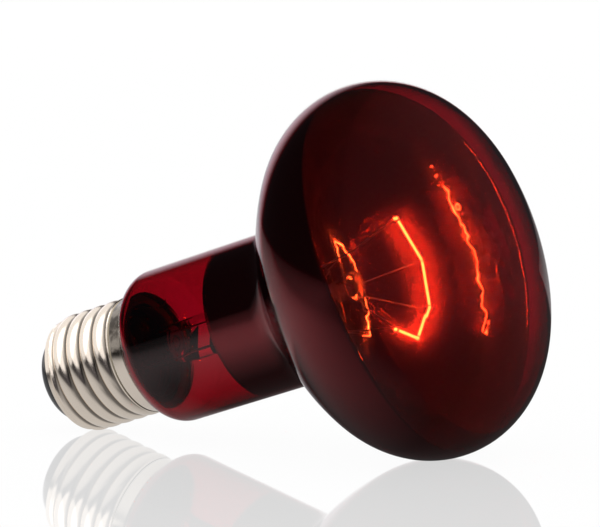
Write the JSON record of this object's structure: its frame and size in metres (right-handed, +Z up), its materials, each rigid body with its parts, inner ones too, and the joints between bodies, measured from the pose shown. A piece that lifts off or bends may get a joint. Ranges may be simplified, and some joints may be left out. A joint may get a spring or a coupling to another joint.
{
  "type": "infrared heat lamp bulb",
  "caption": "Reflector heat lamp bulb of deep red glass with a mirrored back, a domed clear face, a lit filament on looped supports and a plated screw cap.",
  "frame": {"origin": "centre of the lamp's footprint box, on the table it lies on", "axes": "+X from the cap to the face along the table, +Z up; the lamp's own axis rises from the cap to the face in the XZ plane"},
  "size_m": [0.1142, 0.08, 0.0778],
  "materials": {
    "ruby_glass": "smooth deep red blown glass",
    "mirror_coating": "bright mirror film on the inside of the glass",
    "plated_shell": "warm nickel plate on rolled sheet",
    "black_glass": "glossy black pressed glass",
    "contact_metal": "plain pressed metal",
    "solder": "dull grey solder",
    "cement": "baked cement",
    "clear_glass": "clear glass",
    "lead_metal": "drawn nickel wire",
    "support_metal": "drawn grey wire",
    "filament_metal": "glowing coiled wire"
  },
  "bodies": {
    "root": {"glass_envelope": "ruby_glass", "reflector_coating": "mirror_coating", "screw_shell": "plated_shell", "cap_insulator": "black_glass", "centre_contact": "contact_metal", "centre_solder": "solder", "side_solder": "solder", "basing_cement": "cement", "stem_glass": "clear_glass", "exhaust_tube": "clear_glass", "arbor_rod": "clear_glass", "side_lead_wire": "lead_metal", "centre_lead_wire": "lead_metal", "filament": "filament_metal", "support_wire_1": "support_metal", "support_wire_2": "support_metal", "support_wire_3": "support_metal"}
  },
  "joints": []
}
